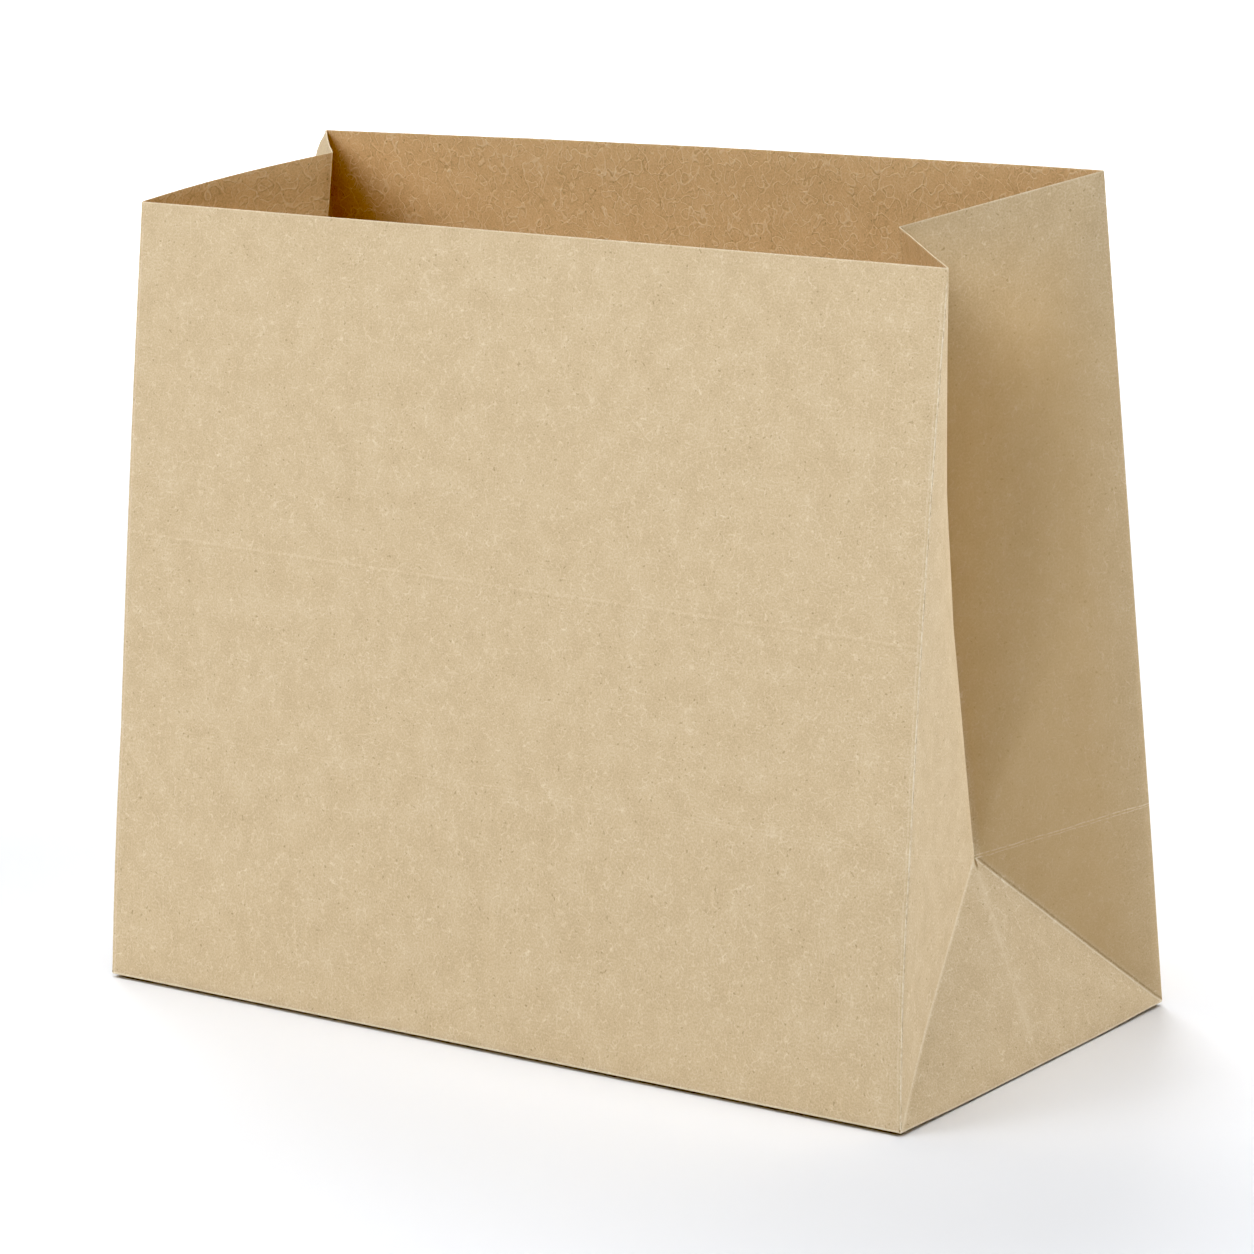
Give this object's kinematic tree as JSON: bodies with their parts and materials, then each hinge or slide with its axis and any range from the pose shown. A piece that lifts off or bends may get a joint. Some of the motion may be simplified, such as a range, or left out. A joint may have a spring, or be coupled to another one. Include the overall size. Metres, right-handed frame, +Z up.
{
  "type": "paper lunch bag",
  "caption": "Wide brown kraft paper lunch bag, open at the top, with tucked side gussets and a folded square bottom.",
  "frame": {"origin": "centre of the bag's outer box, on the plane that it stands on", "axes": "+Z up, -Y out of the wide front panel, +X to the right seen from the front"},
  "size_m": [0.263, 0.1134, 0.2138],
  "materials": {
    "kraft_paper": "matt uncoated brown kraft, lightly creased"
  },
  "bodies": {
    "root": {"paper_bag": "kraft_paper"}
  },
  "joints": []
}
